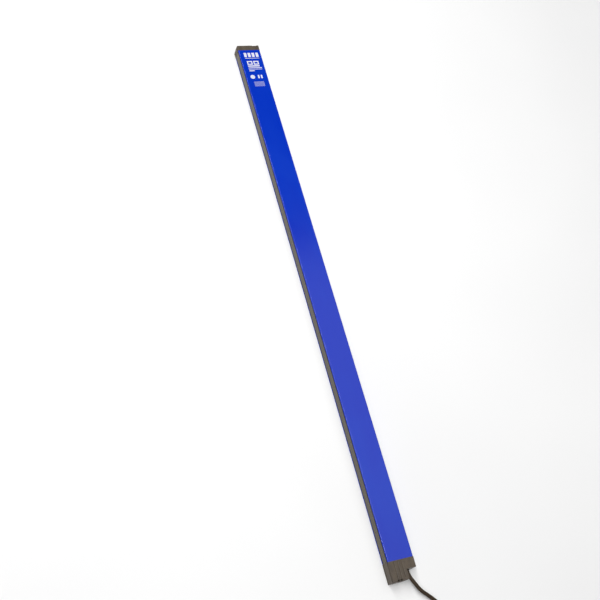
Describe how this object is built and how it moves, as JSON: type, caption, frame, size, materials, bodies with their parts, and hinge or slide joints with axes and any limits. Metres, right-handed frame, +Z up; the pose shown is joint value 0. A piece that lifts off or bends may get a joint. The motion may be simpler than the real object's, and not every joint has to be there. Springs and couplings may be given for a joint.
{
  "type": "area sensor bar",
  "caption": "Slim bar of an optical area sensor: blue aluminium channel, smoked window along one narrow side, dark plastic end caps, a slot along the back, and a short cable with a plug.",
  "frame": {"origin": "under the middle of the bar, on the surface that it lies on (bottom centre of the bar's box, without the cable and plug)", "axes": "+X along the bar from the cable end to the far end, +Y out of the window, +Z up"},
  "size_m": [0.9902, 0.0987, 0.0201],
  "materials": {
    "blue_aluminium": "satin blue coat on extruded aluminium",
    "cap_plastic": "moulded glass-filled nylon, dark warm grey",
    "smoked_window": "smoked acrylic sheet, gloss",
    "black_rubber": "moulded rubber, matt",
    "foam": "closed-cell foam",
    "steel": "zinc plated steel",
    "carrier_plastic": "moulded black plastic, matt",
    "clear_lens": "clear moulded acrylic",
    "board_green": "solder mask on glass-epoxy board",
    "chip_black": "moulded epoxy",
    "connector_ivory": "moulded nylon",
    "ribbon_grey": "flat ribbon cable",
    "capacitor_can": "drawn aluminium can",
    "light_pipe": "smoked moulded polycarbonate",
    "lamp": "indicator lamp, cast resin",
    "cable_sheath": "black-brown PVC sheath",
    "wire_sheath": "PVC insulated wire",
    "plug_plastic": "moulded polyurethane",
    "nickel": "nickel plated brass",
    "gold_pin": "gold plated contact",
    "white_print": "screen printed ink"
  },
  "bodies": {
    "root": {"amplifier_chips_1": "chip_black", "amplifier_chips_2": "chip_black", "amplifier_chips_3": "chip_black", "amplifier_chips_4": "chip_black", "board_link_1": "connector_ivory", "board_link_2": "connector_ivory", "board_link_3": "connector_ivory", "cable": "cable_sheath", "cable_bush": "black_rubber", "cable_cap": "cap_plastic", "cable_cap_screws": "steel", "cable_gasket": "black_rubber", "cable_tail": "cable_sheath", "cable_wires": "wire_sheath", "contact_insert": "plug_plastic", "contact_pins": "gold_pin", "control_board": "board_green", "controller_chip": "chip_black", "end_pad": "foam", "far_cap": "cap_plastic", "far_cap_screws": "steel", "far_gasket": "black_rubber", "front_window": "smoked_window", "housing": "blue_aluminium", "indicator_lamp_1": "lamp", "indicator_lamp_2": "lamp", "lens_strip_1": "clear_lens", "lens_strip_2": "clear_lens", "lens_strip_3": "clear_lens", "lens_strip_4": "clear_lens", "light_pipe_1": "light_pipe", "light_pipe_2": "light_pipe", "lower_window_seal": "black_rubber", "optics_carrier_1": "carrier_plastic", "optics_carrier_2": "carrier_plastic", "optics_carrier_3": "carrier_plastic", "optics_carrier_4": "carrier_plastic", "output_driver": "chip_black", "photodiodes_1": "chip_black", "photodiodes_2": "chip_black", "photodiodes_3": "chip_black", "photodiodes_4": "chip_black", "plug_body": "plug_plastic", "plug_ferrule": "nickel", "plug_seal_ring": "black_rubber", "print_heading": "white_print", "print_lines": "white_print", "print_marks": "white_print", "print_table": "white_print", "receiver_board_1": "board_green", "receiver_board_2": "board_green", "receiver_board_3": "board_green", "receiver_board_4": "board_green", "ribbon": "ribbon_grey", "ribbon_header": "connector_ivory", "storage_capacitor": "capacitor_can", "upper_window_seal": "black_rubber", "wire_header": "connector_ivory"}
  },
  "joints": []
}
